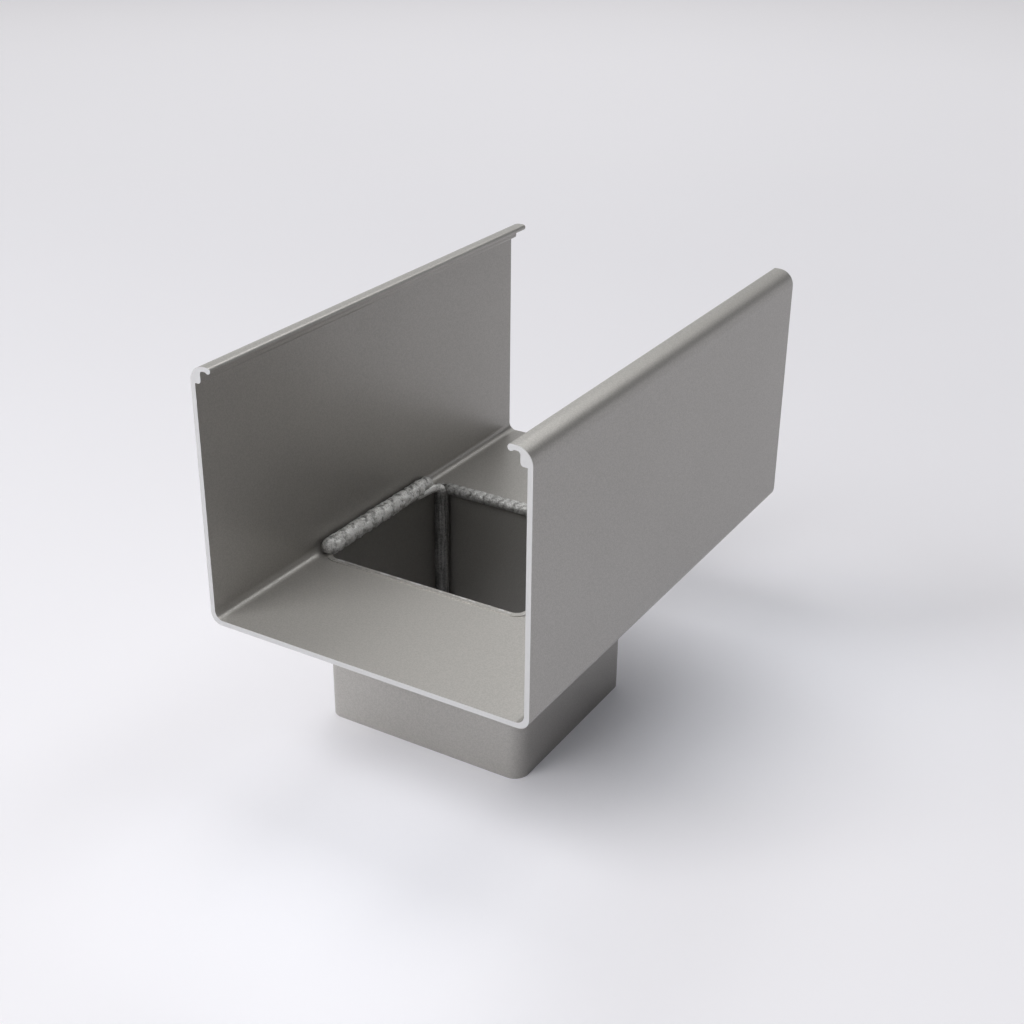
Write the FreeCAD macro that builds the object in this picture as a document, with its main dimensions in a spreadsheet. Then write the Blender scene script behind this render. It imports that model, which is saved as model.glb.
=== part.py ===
import FreeCAD, Part
import math
import os
import Sketcher
from FreeCAD import Vector

# Box gutter outlet in aluminium: a short length of extruded box gutter, a spigot folded
# from sheet that comes up through its floor, and the weld round the joint.
# X runs across the gutter, Y along it and Z up. The origin is on the spigot's cut end,
# below the middle of the gutter. All sizes are in millimetres.

SIZES = [
    ("gutter_width", 120.0, "outer face to outer face"),
    ("gutter_height", 90.0, "underside of the floor to the top of the lips"),
    ("gutter_length", 186.0, "cut end to cut end"),
    ("wall_thickness", 1.7, "side walls"),
    ("floor_thickness", 1.8, "floor"),
    ("sole_outer_radius", 4.0, "outside corner of wall and floor"),
    ("sole_inner_radius", 3.0, "inside corner of wall and floor"),
    ("shoulder_radius", 5.5, "outside corner of wall and lip"),
    ("lip_reach", 8.1, "outer face to the nose of the lip"),
    ("lip_thickness", 1.6, "flat part of the lip"),
    ("nose_radius", 1.05, "round nose of the lip"),
    ("groove_radius", 1.1, "hollow between the lip and the thick band"),
    ("band_thickness", 4.0, "thick band under the lip, from the outer face"),
    ("band_depth", 5.9, "top of the lip to the foot of the thick band"),
    ("band_radius", 1.2, "lower corner of the thick band"),
    ("spigot_width", 82.0, "outside, across the gutter"),
    ("spigot_depth", 76.0, "outside, along the gutter"),
    ("spigot_wall", 2.0, "sheet thickness"),
    ("spigot_corner_radius", 5.5, "outside corners"),
    ("spigot_drop", 63.0, "cut end to the underside of the floor"),
    ("spigot_rim", 0.3, "rim standing above the floor"),
    ("spigot_side_gap", 3.4, "inner face of the wall to the spigot"),
    ("spigot_offset", -3.0, "its axis from the middle of the gutter, along"),
    ("side_bead_radius", 3.55, "heavy weld run in the corner of wall and floor"),
    ("side_bead_lift", 2.3, "its axis above the floor"),
    ("side_bead_start", 2.9, "its round end behind the spigot's front face"),
    ("side_bead_end", 10.35, "its last ripple before the spigot's back face"),
    ("ripple_count", 16, "ripples in the heavy run"),
    ("side_bead_valley", 0.4, "depth of the valleys between the ripples"),
    ("side_bead_crest", 1.5, "length of a ripple's crest"),
    ("side_bead_fade", 0.5, "loss of radius in each step of the fading end"),
    ("run_bead_radius", 2.1, "lighter weld run along the other edges"),
    ("run_bead_inset", 2.1, "its axis inside the spigot's outer face"),
    ("run_bead_sink", 0.3, "its axis below the top of the floor"),
    ("run_bead_lead", 6.0, "straight part that starts inside the heavy run"),
    ("seam_bead_radius", 2.0, "weld up the inside corner where the sheet closes"),
    ("seam_bead_inset", 3.4, "its axis from the spigot's outer faces"),
    ("seam_bead_stop", 4.0, "its foot above the cut end"),
]
size = {name: value for name, value, note in SIZES}

doc = FreeCAD.newDocument("box_gutter_outlet")
sheet = doc.addObject("Spreadsheet::Sheet", "sizes")
for row, (name, value, note) in enumerate(SIZES, start=1):
    sheet.set("A%d" % row, name)
    sheet.set("B%d" % row, str(value))
    sheet.set("C%d" % row, note)
    sheet.setAlias("B%d" % row, name)
doc.recompute()


def new_body(label, placement_formulas):
    """A body with its own label, placed by formulas for its X, Y and Z."""
    body = doc.addObject("PartDesign::Body", label)
    body.Label = label
    for axis, formula in placement_formulas.items():
        body.setExpression("Placement.Base." + axis, formula)
    return body


def origin_plane(body, role):
    return next(part for part in body.Origin.OriginFeatures if part.Role == role)


def new_sketch(body, name, role, offset_formulas=None):
    """A sketch on one of the body's own planes, moved by formulas in the plane's frame."""
    sketch = body.newObject("Sketcher::SketchObject", name)
    sketch.AttachmentSupport = (origin_plane(body, role), [""])
    sketch.MapMode = "FlatFace"
    for axis, formula in (offset_formulas or {}).items():
        sketch.setExpression("AttachmentOffset.Base." + axis, formula)
    return sketch


def add_line(sketch, start, end):
    return sketch.addGeometry(Part.LineSegment(Vector(*start, 0), Vector(*end, 0)), False)


def add_arc(sketch, centre, radius, start_deg, end_deg):
    circle = Part.Circle(Vector(*centre, 0), Vector(0, 0, 1), radius)
    arc = Part.ArcOfCircle(circle, math.radians(start_deg), math.radians(end_deg))
    return sketch.addGeometry(arc, False)


def bind(sketch, kind, geometry, value, formula):
    """A driving dimension that starts at its value and follows its formula."""
    index = sketch.addConstraint(Sketcher.Constraint(kind, *geometry, value))
    sketch.setExpression("Constraints[%d]" % index, formula)


def join(sketch, pairs, kind):
    for first, first_end, second, second_end in pairs:
        sketch.addConstraint(Sketcher.Constraint(kind, first, first_end, second, second_end))


def level(sketch, kind, lines):
    for line in lines:
        sketch.addConstraint(Sketcher.Constraint(kind, line))


START, END, CENTRE = 1, 2, 3
ORIGIN = (-1, START)


def rounded_rectangle(sketch, width, depth, radius, formulas):
    """A rectangle with round corners, centred on the sketch's origin."""
    half_x, half_y = width / 2, depth / 2
    core_x, core_y = half_x - radius, half_y - radius
    bottom = add_line(sketch, (-core_x, -half_y), (core_x, -half_y))
    corner_a = add_arc(sketch, (core_x, -core_y), radius, 270, 360)
    right = add_line(sketch, (half_x, -core_y), (half_x, core_y))
    corner_b = add_arc(sketch, (core_x, core_y), radius, 0, 90)
    top = add_line(sketch, (core_x, half_y), (-core_x, half_y))
    corner_c = add_arc(sketch, (-core_x, core_y), radius, 90, 180)
    left = add_line(sketch, (-half_x, core_y), (-half_x, -core_y))
    corner_d = add_arc(sketch, (-core_x, -core_y), radius, 180, 270)
    loop = [bottom, corner_a, right, corner_b, top, corner_c, left, corner_d]
    following = loop[1:] + loop[:1]
    pairs = [(item, END, after, START) for item, after in zip(loop, following)]
    join(sketch, pairs, "Tangent")
    level(sketch, "Horizontal", [bottom, top])
    level(sketch, "Vertical", [right, left])
    for corner in (corner_b, corner_c, corner_d):
        sketch.addConstraint(Sketcher.Constraint("Equal", corner_a, corner))
    sketch.addConstraint(Sketcher.Constraint("Symmetric", corner_d, CENTRE, corner_b, CENTRE, *ORIGIN))
    width_formula, depth_formula, radius_formula = formulas
    bind(sketch, "DistanceX", (left, START, right, START), width, width_formula)
    bind(sketch, "DistanceY", (bottom, START, top, START), depth, depth_formula)
    bind(sketch, "Radius", (corner_a,), radius, radius_formula)


def spigot_outside(sketch):
    rounded_rectangle(sketch, size["spigot_width"], size["spigot_depth"],
                      size["spigot_corner_radius"],
                      ["sizes.spigot_width", "sizes.spigot_depth", "sizes.spigot_corner_radius"])


def spigot_inside(sketch):
    wall = size["spigot_wall"]
    rounded_rectangle(sketch, size["spigot_width"] - 2 * wall, size["spigot_depth"] - 2 * wall,
                      size["spigot_corner_radius"] - wall,
                      ["sizes.spigot_width - 2 * sizes.spigot_wall",
                       "sizes.spigot_depth - 2 * sizes.spigot_wall",
                       "sizes.spigot_corner_radius - sizes.spigot_wall"])


def half_section(sketch):
    """Half of the gutter's section, from the middle of the floor to the nose of the lip."""
    outer = -size["gutter_width"] / 2
    height = size["gutter_height"]
    sole, fillet = size["sole_outer_radius"], size["sole_inner_radius"]
    shoulder, nose = size["shoulder_radius"], size["nose_radius"]
    groove, corner = size["groove_radius"], size["band_radius"]
    wall = outer + size["wall_thickness"]
    floor = size["floor_thickness"]
    nose_x = outer + size["lip_reach"] - nose
    lip_under = height - size["lip_thickness"]
    nose_dip = size["lip_thickness"] - nose
    nose_foot = nose_x - math.sqrt(nose ** 2 - nose_dip ** 2)
    nose_start = 180 + math.degrees(math.asin(nose_dip / nose))
    band = outer + size["band_thickness"]
    band_foot = height - size["band_depth"]

    underside = add_line(sketch, (0, 0), (outer + sole, 0))
    sole_arc = add_arc(sketch, (outer + sole, sole), sole, 180, 270)
    outer_face = add_line(sketch, (outer, sole), (outer, height - shoulder))
    shoulder_arc = add_arc(sketch, (outer + shoulder, height - shoulder), shoulder, 90, 180)
    lip_top = add_line(sketch, (outer + shoulder, height), (nose_x, height))
    nose_arc = add_arc(sketch, (nose_x, height - nose), nose, nose_start, 450)
    lip_foot = add_line(sketch, (nose_foot, lip_under), (band + groove, lip_under))
    groove_arc = add_arc(sketch, (band + groove, lip_under - groove), groove, 90, 180)
    band_face = add_line(sketch, (band, lip_under - groove), (band, band_foot + corner))
    band_arc = add_arc(sketch, (band - corner, band_foot + corner), corner, 270, 360)
    band_edge = add_line(sketch, (band - corner, band_foot), (wall, band_foot))
    inner_face = add_line(sketch, (wall, band_foot), (wall, floor + fillet))
    fillet_arc = add_arc(sketch, (wall + fillet, floor + fillet), fillet, 180, 270)
    floor_top = add_line(sketch, (wall + fillet, floor), (0, floor))
    middle = add_line(sketch, (0, floor), (0, 0))

    join(sketch, [
        (underside, END, sole_arc, END), (sole_arc, START, outer_face, START),
        (outer_face, END, shoulder_arc, END), (shoulder_arc, START, lip_top, START),
        (lip_top, END, nose_arc, END), (lip_foot, END, groove_arc, START),
        (groove_arc, END, band_face, START), (band_face, END, band_arc, END),
        (band_arc, START, band_edge, START), (inner_face, END, fillet_arc, START),
        (fillet_arc, END, floor_top, START)], "Tangent")
    join(sketch, [
        (nose_arc, START, lip_foot, START), (band_edge, END, inner_face, START),
        (floor_top, END, middle, START), (middle, END, underside, START),
        (underside, START) + ORIGIN], "Coincident")
    level(sketch, "Horizontal", [underside, lip_top, lip_foot, band_edge, floor_top])
    level(sketch, "Vertical", [outer_face, band_face, inner_face, middle])

    bind(sketch, "DistanceX", (outer_face, START, *ORIGIN), -outer, "sizes.gutter_width / 2")
    bind(sketch, "DistanceY", (*ORIGIN, lip_top, START), height, "sizes.gutter_height")
    bind(sketch, "Radius", (sole_arc,), sole, "sizes.sole_outer_radius")
    bind(sketch, "Radius", (shoulder_arc,), shoulder, "sizes.shoulder_radius")
    bind(sketch, "DistanceX", (outer_face, START, nose_arc, CENTRE), nose_x - outer,
         "sizes.lip_reach - sizes.nose_radius")
    bind(sketch, "Radius", (nose_arc,), nose, "sizes.nose_radius")
    bind(sketch, "DistanceY", (lip_foot, START, lip_top, START), size["lip_thickness"],
         "sizes.lip_thickness")
    bind(sketch, "Radius", (groove_arc,), groove, "sizes.groove_radius")
    bind(sketch, "DistanceX", (outer_face, START, band_face, START), band - outer,
         "sizes.band_thickness")
    bind(sketch, "DistanceY", (band_edge, START, lip_top, START), size["band_depth"],
         "sizes.band_depth")
    bind(sketch, "Radius", (band_arc,), corner, "sizes.band_radius")
    bind(sketch, "DistanceX", (outer_face, START, inner_face, START), wall - outer,
         "sizes.wall_thickness")
    bind(sketch, "Radius", (fillet_arc,), fillet, "sizes.sole_inner_radius")
    bind(sketch, "DistanceY", (middle, END, middle, START), floor, "sizes.floor_thickness")


SPIGOT_LEFT = "(-sizes.gutter_width / 2 + sizes.wall_thickness + sizes.spigot_side_gap)"
SPIGOT_RIGHT = "(%s + sizes.spigot_width)" % SPIGOT_LEFT
SPIGOT_FRONT = "(sizes.spigot_offset - sizes.spigot_depth / 2)"
SPIGOT_BACK = "(sizes.spigot_offset + sizes.spigot_depth / 2)"
SPIGOT_CENTRE = {"x": SPIGOT_LEFT + " + sizes.spigot_width / 2", "y": "sizes.spigot_offset"}
VOLUME_TOLERANCE = 0.001


def make_gutter():
    """The extrusion: half the section padded, mirrored, and the opening cut in its floor."""
    body = new_body("gutter_body", {"z": "sizes.spigot_drop"})
    section = new_sketch(body, "gutter_section", "XZ_Plane")
    half_section(section)
    half = body.newObject("PartDesign::Pad", "gutter_half")
    half.Profile = section
    half.setExpression("Length", "sizes.gutter_length")
    half.Midplane = True
    whole = body.newObject("PartDesign::Mirrored", "gutter_whole")
    whole.Originals = [half]
    whole.MirrorPlane = (origin_plane(body, "YZ_Plane"), [""])
    body.Tip = whole
    doc.recompute()
    uncut = body.Shape.Volume

    outline = new_sketch(body, "opening_outline", "XY_Plane", SPIGOT_CENTRE)
    spigot_outside(outline)
    opening = body.newObject("PartDesign::Pocket", "floor_opening")
    opening.Profile = outline
    opening.Reversed = True
    opening.setExpression("Length", "2 * sizes.floor_thickness")
    doc.recompute()
    corners_left = (4 - math.pi) * size["spigot_corner_radius"] ** 2
    area = size["spigot_width"] * size["spigot_depth"] - corners_left
    wanted = area * size["floor_thickness"]
    removed = uncut - body.Shape.Volume
    if abs(removed - wanted) > VOLUME_TOLERANCE * wanted:
        raise RuntimeError("The opening cuts %.0f mm3 and should cut %.0f" % (removed, wanted))
    return body


def make_spigot():
    """The folded sheet tube, from its cut end up to the rim inside the gutter."""
    body = new_body("outlet_spigot", SPIGOT_CENTRE)
    outline = new_sketch(body, "spigot_outline", "XY_Plane")
    spigot_outside(outline)
    spigot_inside(outline)
    tube = body.newObject("PartDesign::Pad", "spigot_tube")
    tube.Profile = outline
    tube.setExpression("Length", "sizes.spigot_drop + sizes.floor_thickness + sizes.spigot_rim")
    return body


RIPPLE_PITCH = ("((sizes.spigot_depth - sizes.side_bead_start - sizes.side_bead_radius"
                " - sizes.side_bead_end) / sizes.ripple_count)")


def add_ball(body, name, radius_formula, place_formulas):
    """A ball of weld metal at a place given by formulas in the body's frame."""
    ball = body.newObject("PartDesign::AdditiveSphere", name)
    ball.AttachmentSupport = (origin_plane(body, "XY_Plane"), [""])
    ball.MapMode = "FlatFace"
    ball.setExpression("Radius", radius_formula)
    for axis, formula in place_formulas.items():
        ball.setExpression("AttachmentOffset.Base." + axis, formula)
    return ball


def side_bead_place(radius, y_formula):
    """Where a ball of the heavy run lies: against the wall, and lower as it gets smaller."""
    share = "(%s) / sizes.side_bead_radius" % radius
    return {"x": "-sizes.gutter_width / 2 + sizes.wall_thickness + (%s)" % radius,
            "y": y_formula,
            "z": "sizes.floor_thickness + sizes.side_bead_lift * %s" % share}


def ripple_profile(body, place_formulas):
    """Half the outline of one ripple: up from a valley, along the crest and down again."""
    crest = size["side_bead_radius"]
    row_length = size["spigot_depth"] - size["side_bead_start"] - crest - size["side_bead_end"]
    pitch = row_length / size["ripple_count"]
    valley = crest - size["side_bead_valley"]
    rise = (pitch - size["side_bead_crest"]) / 2
    sketch = new_sketch(body, "side_bead_profile", "XY_Plane", place_formulas)
    near = add_line(sketch, (0, 0), (valley, 0))
    up = add_line(sketch, (valley, 0), (crest, rise))
    top = add_line(sketch, (crest, rise), (crest, pitch - rise))
    down = add_line(sketch, (crest, pitch - rise), (valley, pitch))
    far = add_line(sketch, (valley, pitch), (0, pitch))
    axis = add_line(sketch, (0, pitch), (0, 0))
    join(sketch, [(near, END, up, START), (up, END, top, START), (top, END, down, START),
                  (down, END, far, START), (far, END, axis, START), (axis, END, near, START),
                  (near, START) + ORIGIN], "Coincident")
    level(sketch, "Horizontal", [near, far])
    level(sketch, "Vertical", [top, axis])
    sketch.addConstraint(Sketcher.Constraint("Equal", near, far))
    sketch.addConstraint(Sketcher.Constraint("Equal", up, down))
    bind(sketch, "DistanceX", (near, START, top, START), crest, "sizes.side_bead_radius")
    bind(sketch, "DistanceX", (near, START, near, END), valley,
         "sizes.side_bead_radius - sizes.side_bead_valley")
    bind(sketch, "DistanceY", (top, START, top, END), pitch - 2 * rise, "sizes.side_bead_crest")
    bind(sketch, "DistanceY", (near, START, far, END), pitch, RIPPLE_PITCH)
    return sketch


def add_side_bead(body):
    """The heavy run: a row of ripples in the corner of wall and floor, fading at the back."""
    full = "sizes.side_bead_radius"
    first = SPIGOT_FRONT + " + sizes.side_bead_start + " + full
    ripple = body.newObject("PartDesign::Revolution", "side_bead_ripple")
    ripple.Profile = ripple_profile(body, side_bead_place(full, first))
    ripple.ReferenceAxis = (ripple.Profile[0], ["V_Axis"])
    ripple.Angle = 360
    row = body.newObject("PartDesign::LinearPattern", "side_bead_row")
    row.Originals = [ripple]
    row.Direction = (origin_plane(body, "Y_Axis"), [""])
    row.Mode = "Spacing"
    row.setExpression("Offset", RIPPLE_PITCH)
    row.setExpression("Occurrences", "sizes.ripple_count")
    body.Tip = row
    doc.recompute()
    add_ball(body, "side_bead_start", full, side_bead_place(full, first))
    last = SPIGOT_BACK + " - sizes.side_bead_end"
    for step in (1, 2):
        radius = "%s - %d * sizes.side_bead_fade" % (full, step)
        along = "%s + %d * %s" % (last, step - 1, RIPPLE_PITCH)
        add_ball(body, "side_bead_fade_%d" % step, radius, side_bead_place(radius, along))


def add_run_bead(body):
    """The lighter run: out of the heavy one, along the back edge and down the far side."""
    inset, bend = size["run_bead_inset"], size["spigot_corner_radius"] - size["run_bead_inset"]
    side_x, back = size["spigot_width"] / 2 - inset, size["spigot_depth"] / 2 - inset
    lead_end = back - bend - size["run_bead_lead"]
    height = "sizes.floor_thickness - sizes.run_bead_sink"
    spine = new_sketch(body, "run_bead_line", "XY_Plane", dict(SPIGOT_CENTRE, z=height))
    lead = add_line(spine, (-side_x, lead_end), (-side_x, back - bend))
    first = add_arc(spine, (bend - side_x, back - bend), bend, 90, 180)
    rear = add_line(spine, (bend - side_x, back), (side_x - bend, back))
    second = add_arc(spine, (side_x - bend, back - bend), bend, 0, 90)
    side = add_line(spine, (side_x, back - bend), (side_x, bend - back))
    join(spine, [(lead, END, first, END), (first, START, rear, START),
                 (rear, END, second, END), (second, START, side, START)], "Tangent")
    level(spine, "Vertical", [lead, side])
    level(spine, "Horizontal", [rear])
    spine.addConstraint(Sketcher.Constraint("Equal", first, second))
    half_width = "sizes.spigot_width / 2 - sizes.run_bead_inset"
    half_depth = "sizes.spigot_depth / 2 - sizes.run_bead_inset"
    bend_formula = "sizes.spigot_corner_radius - sizes.run_bead_inset"
    bind(spine, "Radius", (first,), bend, bend_formula)
    bind(spine, "DistanceX", (lead, START, *ORIGIN), side_x, half_width)
    bind(spine, "DistanceX", (*ORIGIN, side, START), side_x, half_width)
    bind(spine, "DistanceY", (*ORIGIN, rear, START), back, half_depth)
    bind(spine, "DistanceY", (lead, START, lead, END), size["run_bead_lead"], "sizes.run_bead_lead")
    bind(spine, "DistanceY", (side, END, *ORIGIN), back - bend,
         "%s - (%s)" % (half_depth, bend_formula))

    start_x = SPIGOT_LEFT + " + sizes.run_bead_inset"
    start_y = SPIGOT_BACK + " - sizes.spigot_corner_radius - sizes.run_bead_lead"
    section = new_sketch(body, "run_bead_section", "XZ_Plane",
                         {"x": start_x, "y": height, "z": "-(%s)" % start_y})
    radius = size["run_bead_radius"]
    ring = section.addGeometry(Part.Circle(Vector(0, 0, 0), Vector(0, 0, 1), radius), False)
    section.addConstraint(Sketcher.Constraint("Coincident", ring, CENTRE, *ORIGIN))
    bind(section, "Radius", (ring,), radius, "sizes.run_bead_radius")
    pipe = body.newObject("PartDesign::AdditivePipe", "run_bead")
    pipe.Profile = section
    pipe.Spine = spine
    doc.recompute()
    add_ball(body, "run_bead_start", "sizes.run_bead_radius",
             {"x": start_x, "y": start_y, "z": height})
    add_ball(body, "run_bead_end", "sizes.run_bead_radius",
             {"x": SPIGOT_RIGHT + " - sizes.run_bead_inset",
              "y": SPIGOT_FRONT + " + sizes.spigot_corner_radius", "z": height})


def add_seam_bead(body):
    """The upright run that closes the folded sheet in the back corner of the bore."""
    seam = body.newObject("PartDesign::AdditiveCylinder", "seam_bead")
    seam.AttachmentSupport = (origin_plane(body, "XY_Plane"), [""])
    seam.MapMode = "FlatFace"
    seam.setExpression("Radius", "sizes.seam_bead_radius")
    seam.setExpression("Height", "sizes.spigot_drop - sizes.seam_bead_stop + sizes.floor_thickness")
    seam.setExpression("AttachmentOffset.Base.x", SPIGOT_LEFT + " + sizes.seam_bead_inset")
    seam.setExpression("AttachmentOffset.Base.y", SPIGOT_BACK + " - sizes.seam_bead_inset")
    seam.setExpression("AttachmentOffset.Base.z", "sizes.seam_bead_stop - sizes.spigot_drop")


def make_weld(gutter, spigot):
    """The weld metal: its three runs, less the plate and the sheet that they melt on to."""
    body = new_body("weld_runs", {"z": "sizes.spigot_drop"})
    add_side_bead(body)
    add_run_bead(body)
    add_seam_bead(body)
    parents = doc.addObject("Part::Compound", "welded_metal")
    parents.Links = [gutter, spigot]
    weld = doc.addObject("Part::Cut", "weld_bead")
    weld.Base = body
    weld.Tool = parents
    weld.Label = "weld_bead"
    return weld


gutter = make_gutter()
spigot = make_spigot()
weld = make_weld(gutter, spigot)
doc.recompute()

for item in doc.Objects:
    if {"Invalid", "Error"} & set(item.State):
        raise RuntimeError("%s failed: %s" % (item.Name, item.State))

os.makedirs("parts", exist_ok=True)
for node in (gutter, spigot, weld):
    shape = node.Shape
    if shape.isNull() or not shape.isValid():
        raise RuntimeError(node.Label + " has no valid shape")
    box = shape.BoundBox
    print("%-14s solids %d volume %.0f  x %.2f..%.2f y %.2f..%.2f z %.2f..%.2f" % (
        node.Label, len(shape.Solids), shape.Volume,
        box.XMin, box.XMax, box.YMin, box.YMax, box.ZMin, box.ZMax))
    shape.exportStep("parts/%s.step" % node.Label)
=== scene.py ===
"""Studio view of a box gutter outlet: its coat, its bare cut edges, its weld and the stage."""

import math

import bmesh
import bpy
from bpy.props import FloatProperty, FloatVectorProperty, IntProperty, PointerProperty
from mathutils import Matrix, Vector


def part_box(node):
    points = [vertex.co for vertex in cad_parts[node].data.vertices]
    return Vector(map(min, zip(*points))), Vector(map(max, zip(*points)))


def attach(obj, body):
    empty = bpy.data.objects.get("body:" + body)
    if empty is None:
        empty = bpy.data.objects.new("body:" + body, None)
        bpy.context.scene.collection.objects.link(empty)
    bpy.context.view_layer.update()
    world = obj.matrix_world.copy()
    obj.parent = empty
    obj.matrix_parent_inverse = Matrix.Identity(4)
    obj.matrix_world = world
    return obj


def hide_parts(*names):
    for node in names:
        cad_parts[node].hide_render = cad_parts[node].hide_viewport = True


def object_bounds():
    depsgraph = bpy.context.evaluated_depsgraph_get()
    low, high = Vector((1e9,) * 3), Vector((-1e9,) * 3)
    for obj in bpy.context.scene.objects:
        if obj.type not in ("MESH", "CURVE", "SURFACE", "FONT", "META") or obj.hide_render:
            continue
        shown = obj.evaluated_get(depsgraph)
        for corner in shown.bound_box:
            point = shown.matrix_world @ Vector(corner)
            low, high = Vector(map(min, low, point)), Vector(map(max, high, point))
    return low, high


bl_info = {
    "name": "Box gutter outlet studio",
    "version": (1, 0, 0),
    "blender": (4, 5, 0),
    "location": "View3D > Sidebar > Outlet",
    "description": "Finishes a box gutter outlet, lays its weld and sets a pale studio round it",
    "category": "Object",
}

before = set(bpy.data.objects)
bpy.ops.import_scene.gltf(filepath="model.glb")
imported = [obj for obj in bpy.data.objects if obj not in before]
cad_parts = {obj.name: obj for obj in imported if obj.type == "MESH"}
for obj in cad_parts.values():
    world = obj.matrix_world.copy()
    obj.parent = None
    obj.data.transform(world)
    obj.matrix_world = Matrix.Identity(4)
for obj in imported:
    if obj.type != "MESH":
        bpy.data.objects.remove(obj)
cad_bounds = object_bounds()

BODY = "root"
IMAGE_SIZE = 1024
NODE_STEP = 190

# One millimetre, in metres
MM = 0.001

gutter_low, gutter_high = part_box("gutter_body")
spigot_low, spigot_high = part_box("outlet_spigot")

# The grain of the coat. Limits are the values of a noise between which a pattern turns pale,
# and shades are the lightness at its dark and its pale end.
GRAIN_ROUGHNESS = 0.6
FLECK_ROUGHNESS = 0.5
FLECKS_PER_GRAIN = 1.7
FLECK_LIMITS = (0.34, 0.66)
TONE_WIDTH = 45.0 * MM
TONE_SHARE = 0.35
COAT_SATIN_SPREAD = 0.05
GRAIN_STRENGTH = 0.5

# The bare cut edges. A stretch under 1 draws the marks out along that axis, and a fade of 6
# leaves an edge soft from its whole width to a sixth of it.
SAW_STRETCH = (1.0, 1.0, 0.12)
NO_STRETCH = (1.0, 1.0, 1.0)
SAW_SHADES = (0.93, 1.07)
BARE_SATIN_SPREAD = 0.06
ARRIS_FADE = 6

# The spigot's rim and bore. The rim's height is in arrises, depths are shares of the sheet from
# its outer face; the burr, partly a painted highlight, is stronger on the right and the joint line
# weaker.
RIM_HEIGHT = 3
BURR_LIMITS = (0.56, 0.60)
BURR_RIGHT = 0.03
JOINT_DEPTH = 0.4
JOINT_RIGHT = 0.35
DASH_LIMITS = (0.42, 0.58)
DASH_SHADES = (0.5, 1.15)
# Painted shade: inside the bore the coat is darker, and darker still beside the left face.
BORE_DEPTHS = (0.8, 0.95)
LEFT_SHADE_FADE = 4

# The weld metal. The streaks start below the rim, at the first of their two depths.
CREST_LIMITS = (-0.05, 0.66)
PATCH_LIMITS = (0.35, 0.65)
PATCH_DARK = 0.75
SPECK_SHADES = (0.62, 1.38)
SPECK_STRENGTH = 0.6
# Painted shade on the weld's underside.
UNDERSIDE_LIMITS = (-0.35, 0.45)
# A painted contact shadow on the weld beside the gutter's wall and floor.
CONTACT_SHADE_FADE = 5
CONTACT_SHADE_LIGHTNESS = 0.25
STREAK_STRETCH = (1.0, 1.0, 0.08)
STREAK_LIMITS = (0.35, 0.65)
STREAK_SHADES = (0.7, 1.35)
STREAK_DEPTHS = (-0.5 * MM, -4.0 * MM)

# The weld runs. The heavy run grows darker towards its back, over as many of its fade lengths as
# the first value gives, and the middles are what the noise and the ripples' wave are on the whole.
DARKENING_FADES = 1.5
LEAST_RADIUS = 0.02
LUMP_DETAIL = 1.5
NOISE_MIDDLE = 0.5
RIPPLE_MIDDLE = 0.64
RELIEF_REACH = 0.10
BEAD_COUNTS = ("Ring Points", "Seed")
BEAD_SIZES = ("Ripple Height", "Ripple Bow", "Ripple Drift", "Lump Size", "Lump Height",
              "Drop Size", "Drop Height")

# The stage. Slow clouds vary the floor's colour, and the surround turns dark over its edge.
CLOUD_WIDTH = 0.35
CLOUD_SHADES = (0.985, 1.015)
FLOOR_ROUGHNESS = 0.6
CEILING_FADE = 4

# What the settings of one kind share
SIZE = {"unit": "LENGTH", "precision": 5}
PLACE = {"subtype": "TRANSLATION", "unit": "LENGTH", "precision": 4}
SHARE = {"subtype": "FACTOR", "min": 0.0, "max": 1.0}
COLOUR = {"subtype": "COLOR", "min": 0.0, "max": 1.0}


class CoatSettings(bpy.types.PropertyGroup):
    colour: FloatVectorProperty(
        name="Coat colour", description="Grey metallic coat, as it is written",
        default=(0.438, 0.425, 0.403), **COLOUR)
    metal_share: FloatProperty(
        name="Metal share", description="How much the coat mirrors like metal", default=0.50, **SHARE)
    roughness: FloatProperty(name="Roughness", description="Satin of the coat", default=0.40, **SHARE)
    grain: FloatProperty(
        name="Grain", description="Width of one grain of the coat", default=0.70 * MM, **SIZE)
    grain_depth: FloatProperty(
        name="Grain depth", description="Height of the grain", default=0.026 * MM, **SIZE)
    contrast: FloatProperty(
        name="Fleck contrast", description="Lightness between the dark and bright flecks",
        default=0.20, **SHARE)


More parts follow.
